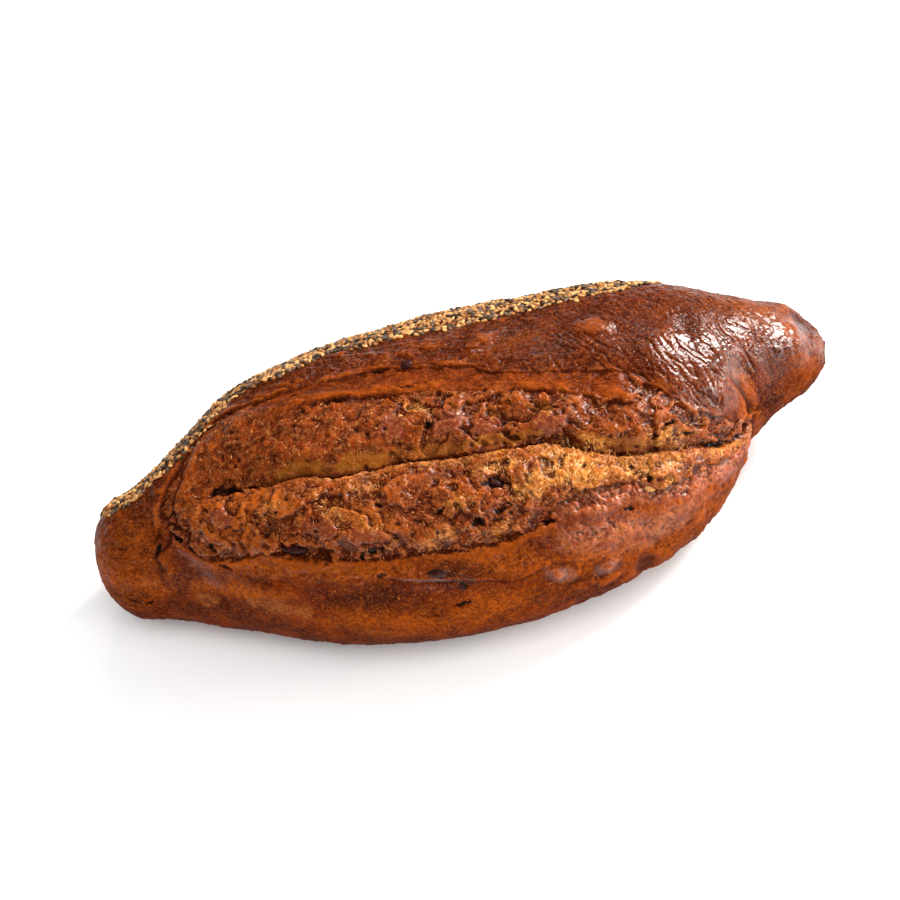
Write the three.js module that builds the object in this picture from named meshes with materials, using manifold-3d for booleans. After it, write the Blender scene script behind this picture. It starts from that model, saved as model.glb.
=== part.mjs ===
// A hearth loaf of bread: a long, fat batard with a blunt knob at one end and a drawn-out nub at the
// other, split along its front shoulder where the crust burst open in the oven. It was baked in one
// piece, so it is one solid. Units are millimetres, +Z is up, +X runs along the loaf towards the nub
// and -Y is the side with the split. The origin is the middle of the face that it rests on.
import * as THREE from "three";
import { mergeVertices } from "three/addons/utils/BufferGeometryUtils.js";
import Module from "manifold-3d";

const LENGTH = 310; // tip of the knob to tip of the nub
const WIDTH = 144; // across the fattest part, through the belly line
const HEIGHT = 84; // hearth to crown

const RINGS = 80; // cross-sections along the loaf, the two tips left out
const SPOKES = 64; // points round each cross-section
const SPLIT_MIDDLE = (2 * Math.PI) / 3; // the angle that the spokes crowd round, to draw the split finely
const CROWDING = 0.35; // 0 spaces the spokes evenly; below 1

// The cross-sections. Each row is one place along the loaf, from -1 at the knob's tip to +1 at the
// nub's tip. side is how far the belly line's middle lies from the XZ plane, half the half width
// there, belly the height of the belly line, rise and drop the heights of the section above and
// below it. side and half are shares of half of WIDTH, the heights are shares of HEIGHT.
const SECTIONS = [
  { at: -1.0, side: 0.1, half: 0.34, belly: 0.35, rise: 0.26, drop: 0.27 },
  { at: -0.94, side: 0.09, half: 0.345, belly: 0.345, rise: 0.25, drop: 0.29 },
  { at: -0.85, side: 0.08, half: 0.375, belly: 0.355, rise: 0.29, drop: 0.32 },
  { at: -0.72, side: 0.09, half: 0.53, belly: 0.37, rise: 0.4, drop: 0.41 },
  { at: -0.55, side: 0.09, half: 0.76, belly: 0.39, rise: 0.53, drop: 0.43 },
  { at: -0.35, side: 0.04, half: 0.92, belly: 0.38, rise: 0.62, drop: 0.44 },
  { at: -0.1, side: 0.01, half: 1.0, belly: 0.375, rise: 0.63, drop: 0.45 },
  { at: 0.12, side: 0.0, half: 1.0, belly: 0.375, rise: 0.625, drop: 0.445 },
  { at: 0.35, side: 0.02, half: 0.92, belly: 0.375, rise: 0.61, drop: 0.43 },
  { at: 0.53, side: 0.05, half: 0.8, belly: 0.39, rise: 0.57, drop: 0.39 },
  { at: 0.66, side: 0.1, half: 0.6, belly: 0.42, rise: 0.48, drop: 0.33 },
  { at: 0.77, side: 0.15, half: 0.38, belly: 0.45, rise: 0.37, drop: 0.26 },
  { at: 0.88, side: 0.19, half: 0.27, belly: 0.45, rise: 0.26, drop: 0.2 },
  { at: 1.0, side: 0.2, half: 0.22, belly: 0.42, rise: 0.17, drop: 0.17 },
];
const KNOB_CAP = 16; // length over which the blunt end rounds off
const NUB_CAP = 17; // length over which the pointed end rounds off
const KNOB_BLUNTNESS = 2.2; // 2 is a round end, more is flatter
const NUB_BLUNTNESS = 1.9;

// The lines along the split, as angles round the loaf in degrees at places x along it in mm: 0 is the
// back, 90 the crown and 180 the front. The crust burst along the two lips, and the crumb between
// them tore along the crack.
const UPPER_LIP = [
  { x: -122, angle: 98 },
  { x: -115, angle: 78 },
  { x: -105, angle: 62 },
  { x: -92, angle: 57 },
  { x: -73, angle: 64 },
  { x: -38, angle: 68 },
  { x: -5, angle: 74 },
  { x: 30, angle: 92 },
  { x: 65, angle: 105 },
  { x: 90, angle: 134 },
  { x: 110, angle: 163 },
];
const CRACK = [
  { x: -104, angle: 112 },
  { x: -75, angle: 117 },
  { x: -34, angle: 121 },
  { x: 3, angle: 125 },
  { x: 37, angle: 130 },
  { x: 66, angle: 145 },
  { x: 90, angle: 154 },
  { x: 112, angle: 178 },
];
const LOWER_LIP = [
  { x: -121, angle: 124 },
  { x: -106, angle: 149 },
  { x: -76, angle: 151 },
  { x: -26, angle: 155 },
  { x: 9, angle: 157 },
  { x: 30, angle: 150 },
  { x: 53, angle: 150 },
  { x: 79, angle: 160 },
  { x: 104, angle: 176 },
];
const CRACK_DEPTH = 4.5;
const CRACK_WIDTH = 8; // from the bottom of the furrow to where it has mostly faded out
const LIP_DEPTH = 2;
const LIP_WIDTH = 7;
const FOLD = { x: 114, from: 125, depth: 4, width: 6 }; // where the split crust tucks under the nub
const FADE = 14; // length over which a line fades out at its ends

// A smooth function through rows of places and values, held level past its ends.
function profile(rows, place, key) {
  const last = rows.length - 1;
  return (at) => {
    const after = rows.findIndex((row) => row[place] > at);
    const i = after === -1 ? last - 1 : Math.max(after - 1, 0);
    const [a, b] = [rows[i], rows[i + 1]];
    const [before, next] = [rows[Math.max(i - 1, 0)], rows[Math.min(i + 2, last)]];
    const span = b[place] - a[place];
    const t = THREE.MathUtils.clamp((at - a[place]) / span, 0, 1);
    const slopeA = (b[key] - before[key]) / (b[place] - before[place]);
    const slopeB = (next[key] - a[key]) / (next[place] - a[place]);
    return (
      (2 * t ** 3 - 3 * t ** 2 + 1) * a[key] +
      (t ** 3 - 2 * t ** 2 + t) * span * slopeA +
      (3 * t ** 2 - 2 * t ** 3) * b[key] +
      (t ** 3 - t ** 2) * span * slopeB
    );
  };
}
const [side, half, belly, rise, drop] = ["side", "half", "belly", "rise", "drop"].map((key) =>
  profile(SECTIONS, "at", key),
);

// Makes the function that tells how deep a line has sunk the skin at x and an angle in degrees, where
// the skin is radius mm from the middle of its section.
function furrow(rows, depth, width) {
  const line = profile(rows, "x", "angle");
  const [start, end] = [rows[0].x, rows[rows.length - 1].x];
  return (x, angle, radius) => {
    const along = Math.min(x - start, end - x) / FADE;
    const away = (THREE.MathUtils.degToRad(angle - line(x)) * radius) / width;
    return depth * THREE.MathUtils.smoothstep(along, -0.5, 1) * Math.exp(-(away ** 2));
  };
}
const furrows = [
  furrow(CRACK, CRACK_DEPTH, CRACK_WIDTH),
  furrow(UPPER_LIP, LIP_DEPTH, LIP_WIDTH),
  furrow(LOWER_LIP, LIP_DEPTH, LIP_WIDTH),
];

// How deep the fold beside the nub has sunk the skin.
function foldDepth(x, angle) {
  const across = Math.exp(-(((x - FOLD.x) / FOLD.width) ** 2));
  const within = THREE.MathUtils.smoothstep(angle, FOLD.from - 20, FOLD.from + 10);
  return FOLD.depth * across * within * THREE.MathUtils.smoothstep(-angle, -235, -195);
}

const signedPower = (value, power) => Math.sign(value) * Math.abs(value) ** power;

// How much of the full section is left at x, as each end rounds off: 1 along the body, 0 at the tips.
function endRounding(x) {
  const toTip = x < 0 ? LENGTH / 2 + x : LENGTH / 2 - x;
  const cap = x < 0 ? KNOB_CAP : NUB_CAP;
  const left = THREE.MathUtils.clamp(1 - toTip / cap, 0, 1);
  const blunt = x < 0 ? KNOB_BLUNTNESS : NUB_BLUNTNESS;
  return (1 - left ** blunt) ** (1 / blunt);
}

// The point of the skin at x along the loaf and at an angle round it. Where two furrows meet, the
// deeper one counts.
function skin(x, angle) {
  const at = x / (LENGTH / 2);
  const round = endRounding(x);
  const [cos, sin] = [Math.cos(angle), Math.sin(angle)];
  const above = sin > 0;
  const corner = above ? 2 / 2.15 : 2 / 2.5; // the underside is squarer than the crown
  const reach = above ? rise(at) : drop(at);
  const out = new THREE.Vector2(
    half(at) * round * signedPower(cos, corner) * (WIDTH / 2),
    reach * round * signedPower(sin, corner) * HEIGHT,
  );
  const radius = out.length();
  const degrees = THREE.MathUtils.radToDeg(Math.atan2(out.y, out.x) + (out.y < 0 ? 2 * Math.PI : 0));
  const sunk = Math.max(foldDepth(x, degrees), ...furrows.map((depth) => depth(x, degrees, radius)));
  out.multiplyScalar(1 - Math.min(sunk / Math.max(radius, 1), 0.3));
  return new THREE.Vector3(x, (side(at) * WIDTH) / 2 + out.x, belly(at) * HEIGHT + out.y);
}

// The whole round loaf, before the hearth flattens it: rings of skin points closed by a point at each
// tip. The rings crowd towards the tips, where the skin turns fastest.
function roundLoaf() {
  const points = [];
  const tip = (x) => {
    const at = x / (LENGTH / 2);
    return new THREE.Vector3(x, (side(at) * WIDTH) / 2, belly(at) * HEIGHT);
  };
  points.push(tip(-LENGTH / 2));
  for (let ring = 1; ring <= RINGS; ring++) {
    const turn = (Math.PI * ring) / (RINGS + 1);
    const even = -1 + (2 * ring) / (RINGS + 1);
    const x = (LENGTH / 2) * (0.55 * -Math.cos(turn) + 0.45 * even);
    for (let spoke = 0; spoke < SPOKES; spoke++) {
      const evenly = (2 * Math.PI * spoke) / SPOKES;
      points.push(skin(x, evenly - CROWDING * Math.sin(evenly - SPLIT_MIDDLE)));
    }
  }
  points.push(tip(LENGTH / 2));

  const index = [];
  const first = (ring) => 1 + (ring - 1) * SPOKES;
  const lastPoint = points.length - 1;
  for (let spoke = 0; spoke < SPOKES; spoke++) {
    const next = (spoke + 1) % SPOKES;
    index.push(0, first(1) + next, first(1) + spoke);
    index.push(lastPoint, first(RINGS) + spoke, first(RINGS) + next);
    for (let ring = 1; ring < RINGS; ring++) {
      const [a, b] = [first(ring) + spoke, first(ring) + next];
      const [c, d] = [first(ring + 1) + spoke, first(ring + 1) + next];
      index.push(a, b, d, a, d, c);
    }
  }
  const geometry = new THREE.BufferGeometry().setFromPoints(points);
  geometry.setIndex(index);
  return geometry;
}

const wasm = await Module();
wasm.setup();

function toSolid(geometry) {
  const bare = geometry.clone();
  bare.deleteAttribute("normal");
  bare.deleteAttribute("uv");
  const merged = mergeVertices(bare);
  return new wasm.Manifold(
    new wasm.Mesh({
      numProp: 3,
      vertProperties: new Float32Array(merged.attributes.position.array),
      triVerts: new Uint32Array(merged.index.array),
    }),
  );
}

function toGeometry(solid) {
  const mesh = solid.getMesh();
  const geometry = new THREE.BufferGeometry();
  geometry.setAttribute("position", new THREE.BufferAttribute(mesh.vertProperties, 3));
  geometry.setIndex(new THREE.BufferAttribute(mesh.triVerts, 1));
  return geometry;
}

// The underside that the hearth pressed flat is cut away with a block whose top face is z = 0.
function hearthBlock() {
  const block = new THREE.BoxGeometry(LENGTH * 1.2, WIDTH * 1.2, HEIGHT);
  return block.translate(0, 0, -HEIGHT / 2);
}

const loaf = toGeometry(toSolid(roundLoaf()).subtract(toSolid(hearthBlock())));
loaf.computeBoundingBox();
const middle = loaf.boundingBox.getCenter(new THREE.Vector3());
loaf.translate(-middle.x, -middle.y, 0);
loaf.computeVertexNormals();

const crust = new THREE.MeshStandardMaterial({ color: 0x8a3d12, roughness: 0.5, metalness: 0 });
const bread = new THREE.Mesh(loaf, crust);
bread.name = "bread_loaf";

const group = new THREE.Group();
group.add(bread);
export default group;
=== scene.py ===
import math

import bpy
import numpy as np
from mathutils import Matrix, Vector
from mathutils.bvhtree import BVHTree


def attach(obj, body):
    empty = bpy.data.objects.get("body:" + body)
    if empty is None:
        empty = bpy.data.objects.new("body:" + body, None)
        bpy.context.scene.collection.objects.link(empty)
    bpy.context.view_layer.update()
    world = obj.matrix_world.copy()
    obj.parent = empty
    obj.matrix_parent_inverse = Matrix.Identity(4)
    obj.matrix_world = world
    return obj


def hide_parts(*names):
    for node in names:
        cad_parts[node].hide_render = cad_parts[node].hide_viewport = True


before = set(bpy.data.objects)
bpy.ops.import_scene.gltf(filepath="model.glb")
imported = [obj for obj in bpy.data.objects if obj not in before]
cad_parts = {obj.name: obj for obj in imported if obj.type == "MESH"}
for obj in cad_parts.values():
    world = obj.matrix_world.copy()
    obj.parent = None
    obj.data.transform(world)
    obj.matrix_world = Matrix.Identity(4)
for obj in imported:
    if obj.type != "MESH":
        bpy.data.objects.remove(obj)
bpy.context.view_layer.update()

bl_info = {
    "name": "Hearth loaf",
    "version": (1, 0, 0),
    "blender": (4, 5, 0),
    "location": "View3D > Sidebar > Loaf",
    "description": "Builds a seeded, split hearth loaf on its plain solid",
    "category": "Object",
}

MM = 0.001
LOAF = "bread_loaf"  # the solid that every piece here stands for
SEED = 41  # start of every random draw
SEED_GAP = 0.56  # least distance between two seeds, in seed lengths
SEED_SIZES = (0.85, 1.12)  # shortest and longest seed, in seed lengths
SEED_LEAN = 0.28  # how far seeds tip out of the skin, about this slope
SEED_PROUD = (0.05, 0.5)  # mm a seed's middle stands out of the skin

# Colours, sRGB.
CRUST_DEEP = "#280802"
CRUST_RED = "#451001"
CRUST_ORANGE = "#903A06"
AMBER = "#A84E06"
TORN_DARK = "#360D02"
TORN_BROWN = "#7A2E04"
# Paler tips of torn fibres, partly their own colour and partly painted highlight; also the painted glints in
# dots and specks.
PALE_TIP_AND_GLINT = "#D08448"
PLATE = "#6C2A18"
CRUMB_GOLD = "#D48C38"
CRUMB_SHADE = "#94440C"
OLIVE = "#7E5010"
FLOUR = "#94562A"
# Painted shade: near black inside holes, slits, creases and pits.
HOLE_SHADE = "#120704"
SEED_GOLD = "#D2A062"
SEED_TOAST = "#8A5428"
SEED_BLACK = "#2A1D14"
SEED_GREY = "#6B5543"
FLAKE_RED = "#9A4226"
FLAKE_PALE = "#CC7A4C"
FRUIT_SKIN = "#150A0C"
FRUIT_RED = "#4A1C12"
NUT_SKIN = "#7A3F16"
NUT = "#C88A44"
NUT_PALE = "#E4B676"
FLOOR = "#FAFAFA"
# How the torn threads go from dark to pale: place on the ramp, and colour.
THREAD_BROWN = ((0.0, "#561B05"), (0.5, "#8E3C0C"), (0.85, "#AC5820"), (1.0, "#D08C54"))
THREAD_GOLD = ((0.0, "#9C4C10"), (0.5, "#CC8634"), (1.0, "#F2C482"))
THREAD_RED = ((0.0, "#4E1808"), (1.0, "#A05630"))

# The middle of the loaf's cross-sections, in mm: x along the loaf, then y and z. Angles round the loaf
# are measured about this line, in degrees: 0 is the seeded back, 90 the crown and 180 the split front.
SPINE = np.array([
    (-155, 7.0, 29.4), (-146, 6.3, 29.0), (-132, 5.6, 29.8), (-112, 6.3, 31.1), (-85, 6.3, 32.8),
    (-54, 2.7, 31.9), (-16, 0.6, 31.5), (19, -0.2, 31.5), (54, 1.3, 31.5), (82, 3.4, 32.8),
    (102, 7.0, 35.3), (119, 10.6, 37.8), (136, 13.5, 37.8), (155, 14.2, 35.3),
])
KNOB_X, NUB_X = -138.0, 139.0  # past these places the rings fan out round the two ends
RING_STEP = 0.5  # mm between the rings along the body
KNOB_RINGS, NUB_RINGS = 44, 38
ENDS = ((0, -1), (-1, 1))  # the knob's and the nub's end ring, and which way each end points
SPOKES = 720
SPLIT_MIDDLE = math.radians(125)  # the spokes crowd round this angle
CROWDING = 0.38  # 0 spaces them evenly

# Lines along the skin, as places x in mm and angles in degrees.
UPPER_LIP = [
    (-129.5, 133), (-124, 113), (-122.5, 98), (-115.6, 79), (-105, 61), (-92.6, 56), (-73, 64), (-55, 66),
    (-38, 68), (-26, 67), (-4.5, 74), (12, 80), (20, 87), (30, 92), (49, 98), (65, 105), (73, 112),
    (81, 123), (90, 134), (101, 147), (110.5, 163),
]
BAND_EDGE = [
    (-75, 84), (-56, 80), (-40, 82.6), (-27, 85.6), (-9.5, 90), (9, 97), (28, 102), (43, 109), (57, 116),
    (71, 124),
]
CRACK = [
    (-104, 112), (-91, 115), (-75, 117.7), (-63, 117.2), (-50, 120.6), (-34, 121.7), (-24, 120.5),
    (-8, 123.3), (3, 125), (13, 125.4), (26, 127), (37, 129.7), (45, 135), (51, 138.6), (66, 145),
    (74, 146), (90, 154), (102, 167), (113, 179),
]
LOWER_LIP = [
    (-121, 124), (-117, 133), (-111, 143), (-106, 149), (-94, 150), (-86, 149), (-76, 151.4), (-59, 152.5),
    (-43, 154.5), (-26.5, 155), (-8, 156.7), (9, 157), (24, 155), (30, 149.5), (41, 148.7), (53, 150),
    (63, 153.3), (69, 159), (79, 160), (92.5, 165), (104.5, 176),
]
LOW_CREASE = [(-44, 160), (-28, 163.4), (-10.6, 166), (1.5, 168.6), (7.4, 170), (22, 168), (37, 172)]
FOLD = [(109, 128), (111.6, 140), (113.8, 153.5), (114.9, 170), (115, 187), (113, 203)]
KNOB_CREASE = [(-101, 62), (-109, 80), (-115, 100), (-118, 122), (-123, 132), (-128, 138), (-127, 150)]
SEED_EDGE = [
    (-155, -60), (-149, 35), (-145, 70), (-131, 72), (-118, 68), (-100, 60), (-92, 51), (-80, 49),
    (-63, 53), (-41, 47), (-23, 49), (1, 50), (18, 51), (38, 52), (59, 53), (79, 53), (91, 44), (103, 26),
    (116, 4), (130, -14), (150, -30),
]


def linear(colour):
    """The linear RGBA of an sRGB hex colour."""
    parts = [int(colour[i : i + 2], 16) / 255 for i in (1, 3, 5)]
    return tuple(p / 12.92 if p <= 0.04045 else ((p + 0.055) / 1.055) ** 2.4 for p in parts) + (1.0,)


# ---- Numbers over the whole skin ----


def soft_step(low, high, value):
    t = np.clip((value - low) / (high - low), 0, 1)
    return t * t * (3 - 2 * t)


def bell(away, width):
    return np.exp(-((away / width) ** 2))


def scatter(ix, iy, iz, seed):
    """A repeatable random 32-bit number for each cell of a grid."""
    with np.errstate(over="ignore"):
        mixed = ix.astype(np.uint32) * np.uint32(73856093)
        mixed ^= iy.astype(np.uint32) * np.uint32(19349663)
        mixed ^= iz.astype(np.uint32) * np.uint32(83492791)
        mixed ^= np.uint32((seed * 2654435761) & 0xFFFFFFFF)
        for shift, factor in ((16, 0x7FEB352D), (15, 0x846CA68B)):
            mixed ^= mixed >> np.uint32(shift)
            mixed *= np.uint32(factor)
        mixed ^= mixed >> np.uint32(16)
    return mixed


def lumps(points, size, seed, octaves=1):
    """Smooth noise, mostly from -1 to 1, with lumps about size mm across. Each seed is another pattern."""
    total, share, whole = 0.0, 1.0, 0.0
    for octave in range(octaves):
        at = points * (2**octave / size) + 17.3 * (octave + 1)
        cell = np.floor(at)
        inside = at - cell
        ease = inside**3 * (inside * (inside * 6 - 15) + 10)
        cell = cell.astype(np.int64)
        value = 0.0
        for corner in range(8):
            step = np.array([(corner >> axis) & 1 for axis in range(3)])
            mixed = scatter(*(cell[..., axis] + step[axis] for axis in range(3)), SEED + seed + octave)
            away = inside - step
            slope = sum(
                ((mixed >> np.uint32(10 * axis) & np.uint32(1023)) / 511.5 - 1) * away[..., axis]
                for axis in range(3)
            )
            weight = np.prod(np.where(step, ease, 1 - ease), axis=-1)
            value = value + slope * weight
        total = total + share * value
        whole += share
        share *= 0.5
    return np.clip(2.1 * total / whole, -1.5, 1.5)


def cells(points, size, seed):
    """For cells size mm apart: how far the nearest cell's middle is, 1 at about the cell's edge, and a
    random number from 0 to 1 for each cell."""
    at = points / size + 9.1
    base = np.floor(at - 0.5).astype(np.int64)
    nearest = np.full(points.shape[:-1], 9.0)
    who = np.zeros(points.shape[:-1])
    for corner in range(8):
        cell = base + np.array([(corner >> axis) & 1 for axis in range(3)])
        mixed = scatter(cell[..., 0], cell[..., 1], cell[..., 2], SEED + seed)
        middle = np.stack([(mixed >> np.uint32(10 * axis) & np.uint32(1023)) / 1023 for axis in range(3)], -1)
        away = np.linalg.norm(at - cell - 0.15 - 0.7 * middle, axis=-1)
        closer = away < nearest
        nearest = np.where(closer, away, nearest)
        who = np.where(closer, (mixed >> np.uint32(7) & np.uint32(4095)) / 4095, who)
    return nearest / 0.7, who


def blurred(field, rings, spokes):
    """The field averaged over a window that reaches this many rings and spokes each way."""
    padded = np.pad(field, ((rings, rings), (0, 0)), mode="edge")
    out = sum(padded[k : k + len(field)] for k in range(2 * rings + 1)) / (2 * rings + 1)
    return sum(np.roll(out, k, axis=1) for k in range(-spokes, spokes + 1)) / (2 * spokes + 1)


# ---- The skin of the loaf ----


class Skin:
    """A fine grid of points over the loaf, rings along it by spokes round it, in mm."""

    def __init__(self, solid):
        body = np.arange(KNOB_X, NUB_X, RING_STEP)
        knob = np.linspace(-math.pi / 2, 0, KNOB_RINGS, endpoint=False)[1:]
        nub = np.linspace(math.pi / 2, 0, NUB_RINGS, endpoint=False)[1:][::-1]
        ring_x = np.concatenate([np.full(len(knob), KNOB_X), body, np.full(len(nub), NUB_X)])
        lean = np.concatenate([knob, np.zeros(len(body)), nub])[:, None]
        evenly = np.linspace(-math.pi / 2, 1.5 * math.pi, SPOKES, endpoint=False)
        turn = evenly - CROWDING * np.sin(evenly - SPLIT_MIDDLE)
        self.middle = np.stack([ring_x] + [np.interp(ring_x, SPINE[:, 0], SPINE[:, k]) for k in (1, 2)], -1)
        aim = np.stack(
            [np.sin(lean) + 0 * turn, np.cos(lean) * np.cos(turn), np.cos(lean) * np.sin(turn)], -1
        )
        tree = BVHTree.FromPolygons(*plain_faces(solid))
        reach = np.empty(aim.shape[:2])
        for ring, middle in enumerate(self.middle):
            start = Vector(middle)
            reach[ring] = [tree.ray_cast(start, Vector(way))[3] for way in aim[ring]]
        for _ in range(2):  # the solid's flat facets are smoothed away
            reach = blurred(reach, 3, 3)
        self.place = self.middle[:, None] + reach[..., None] * aim
        self.tips = [tree.ray_cast(Vector(self.middle[ring]), Vector((way, 0, 0)))[0] for ring, way in ENDS]
        along = np.gradient(self.place, axis=0)
        across = (np.roll(self.place, -1, axis=1) - np.roll(self.place, 1, axis=1)) / 2
        out = np.cross(across, along)
        out *= np.sign(np.sum(out * aim, axis=-1, keepdims=True))
        self.out = out / np.maximum(np.linalg.norm(out, axis=-1, keepdims=True), 1e-9)
        self.ring_gap, self.spoke_gap = (np.linalg.norm(way, axis=-1) for way in (along, across))  # mm
        self.x = self.place[..., 0]
        self.angle = np.degrees(turn)[None] + 0 * reach
        self.radius = np.linalg.norm((self.place - self.middle[:, None])[..., 1:], axis=-1)
        self.around = np.radians(self.angle - 90) * self.radius
        length = np.cumsum(self.ring_gap.mean(axis=1))
        self.run = (length - length[len(length) // 2])[:, None] + 0 * reach
        self.relief = np.zeros_like(reach)
        self.masks = {}
        self.off_floor = soft_step(0.4, 5, self.place[..., 2])  # no relief where the loaf stands

    def raised(self):
        """The points with their relief, never below the floor."""
        points = self.place + (self.relief * self.off_floor)[..., None] * self.out
        points[..., 2] = np.maximum(points[..., 2], 0)
        return points

    def wobble(self, size, amount, seed):
        """A sideways shake of amount mm, to make a line ragged."""
        return amount * lumps(self.place, size, seed, 2)

    def off_line(self, line, ragged=0.0, seed=1):
        """How far each point is from a line, in mm, above 0 on the line's front side."""
        mm_per_degree = np.radians(1) * self.radius
        px, py = self.x, self.angle * mm_per_degree
        if ragged:
            px = px + self.wobble(5, ragged, seed)
            py = py + self.wobble(5, ragged, seed + 7)
        nearest = np.full(self.x.shape, 1e6)
        side = np.ones(self.x.shape)
        for (x1, a1), (x2, a2) in zip(line[:-1], line[1:]):
            ax, ay = x1, a1 * mm_per_degree
            dx, dy = x2 - x1, (a2 - a1) * mm_per_degree
            t = np.clip(((px - ax) * dx + (py - ay) * dy) / (dx * dx + dy * dy), 0, 1)
            away = np.hypot(px - ax - t * dx, py - ay - t * dy)
            closer = away < nearest - 1e-6
            nearest = np.where(closer, away, nearest)
            turn = np.sign(dx * (py - ay) - dy * (px - ax))
            side = np.where(closer, turn, side)
        return nearest * side

    def patch(self, x, angle, length, width, turn, ragged=0.25, seed=3):
        """1 in the middle of a ragged oval on the skin, 0 at its edge and below 0 beyond it."""
        right, down = self.x - x, np.radians(self.angle - angle) * self.radius
        cos, sin = math.cos(math.radians(turn)), math.sin(math.radians(turn))
        along, across = right * cos + down * sin, -right * sin + down * cos
        away = np.hypot(along / (length / 2), across / (width / 2))
        near = away < 3
        out = 1 - away
        if ragged and near.any():
            out[near] += ragged * lumps(self.place[near], 0.35 * width + 0.8, seed, 2)
        return out

    def read(self, grid, ring, spoke):
        """The values of a grid between its rings and spokes."""
        ring, spoke = np.clip(ring, 0, len(grid) - 1.001), spoke % SPOKES
        r, s = ring.astype(int), spoke.astype(int)
        a, b = (ring - r)[:, None], (spoke - s)[:, None]
        after = (s + 1) % SPOKES
        return (1 - a) * ((1 - b) * grid[r, s] + b * grid[r, after]) + a * (
            (1 - b) * grid[r + 1, s] + b * grid[r + 1, after])

    def strokes(self, turn, length, width, seed, bend=1.4):
        """Ridged noise in short strokes, 1 on the ridges and 0 between them."""
        cos, sin = math.cos(math.radians(turn)), math.sin(math.radians(turn))
        bend = bend * lumps(self.place, 5 * bend, seed + 60)
        along = (self.run * cos + self.around * sin) / length
        across = (-self.run * sin + self.around * cos + bend) / width
        flat = np.stack([along, across, np.full_like(along, 3.7 * seed)], -1)
        return 1 - np.clip(2.6 * np.abs(lumps(flat, 1, seed)), 0, 1)


def plain_faces(solid):
    """The corners, in mm, and faces of a CAD node."""
    mesh = solid.data
    corners = [solid.matrix_world @ v.co / MM for v in mesh.vertices]
    return corners, [tuple(p.vertices) for p in mesh.polygons]


# ---- Relief ----

# Hollows and holes in the skin: x, angle, length, width, turn, depth, and how strongly painted shade darkens
# it inside.
HOLES = [
    (-97, 110, 11, 5, -20, 1.6, 1), (-92.5, 113.5, 8, 4, 0, 1.2, 1), (-84, 116.3, 9, 2.4, 10, 1.2, 0.9),
    (-102, 63.5, 8, 2, 0, 1.3, 0.9), (-94, 66, 11, 1.6, 12, 0.9, 0.8), (-59, 72.5, 5, 2.6, -4, 1, 0.9),
    (-23.5, 69, 9, 2, 10, 1, 1), (-15, 85.3, 7, 1.6, 10, 0.8, 0.8), (-43.6, 83, 14, 3.6, 4, 1.1, 0.6),
    (-11.7, 97.5, 13, 6, 35, 1.6, 0.05), (-10.6, 107.5, 5, 2.8, -24, 1.3, 0.8),
    (9, 137.3, 9, 5.5, 11, 1.4, 1), (-36, 135.5, 4, 2.2, 12, 0.9, 0.9), (-15, 142, 6.5, 2.2, -21, 0.9, 0.9),
    (-1, 148, 9, 5, -21, 1, 0.75), (8.4, 146, 9, 4, 1, 0.9, 0.7), (-68.7, 149, 24, 7, 12, 2.4, 0.3),
    (-74, 147.8, 11, 5, 12, 1.0, 0.9), (-43.3, 151, 11, 4, -14, 1.4, 0.85),
    (-13.4, 167.3, 7, 4, 40, 1, 0.95), (-15.4, 174, 7, 3, -13, 0.9, 0.9),
    (-42.2, 159.2, 4.5, 2, -9, 0.7, 0.7), (-27.8, 177.2, 7, 1.8, -7, 0.6, 0.7),
    (-103.9, 141.6, 4.8, 2.6, 69, 1.1, 1), (-75.4, 131.4, 3, 1.8, 9, 0.8, 0.8),
    (-118, 128, 8, 2.8, 52, 1.2, 0.9), (-112, 140, 9, 1.4, 51, 0.9, 0.8),
    (-100.5, 152.6, 7, 1.6, 25, 0.8, 0.8), (-127.2, 134, 8, 2.2, -60, 1.2, 0.9),
    (25, 154.5, 6, 2.2, -6, 1.2, 1), (80, 136.8, 5, 2.4, 6, 1.3, 1), (73.6, 140, 4, 2.4, -20, 1.1, 0.9),
    (1.4, 125.2, 8, 1.8, 5, 1.4, 1), (40.5, 132.4, 12, 2.6, 26, 1.9, 1),
    (95.8, 160.1, 14, 1.8, 38, 1.3, 0.8), (111, 171, 9, 4.5, 60, 3.6, 1),
    (66.5, 154, 3, 2.4, -24, 0.9, 0.9), (150, 112, 6, 1.6, 54, 0.7, 0.25),
    (-136.6, 182, 4.2, 2.4, -25, 0.9, 0.9), (-133.4, 199, 4.7, 1.8, -22, 0.8, 0.9),
    (-143, 176, 5, 2.2, 60, 0.8, 0.9), (16.4, 110, 13, 5.5, 40, 1.2, 0.05),
    (34.5, 114, 14, 5.5, 35, 1.2, 0.05), (-70, 141.2, 4.2, 2.4, -28, 0.7, 0.6),
    (56, 160, 5, 2, 20, 0.8, 0.8), (61, 147, 4, 2, 80, 1, 0.8), (87, 146, 5, 2, 30, 1.1, 0.8),
    (19.2, 121, 8, 4, 29, 1.1, 0.6), (-118, 110, 12, 1.6, -50, 1, 0.8), (-111, 92, 9, 1.4, -55, 0.9, 0.7),
]
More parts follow.
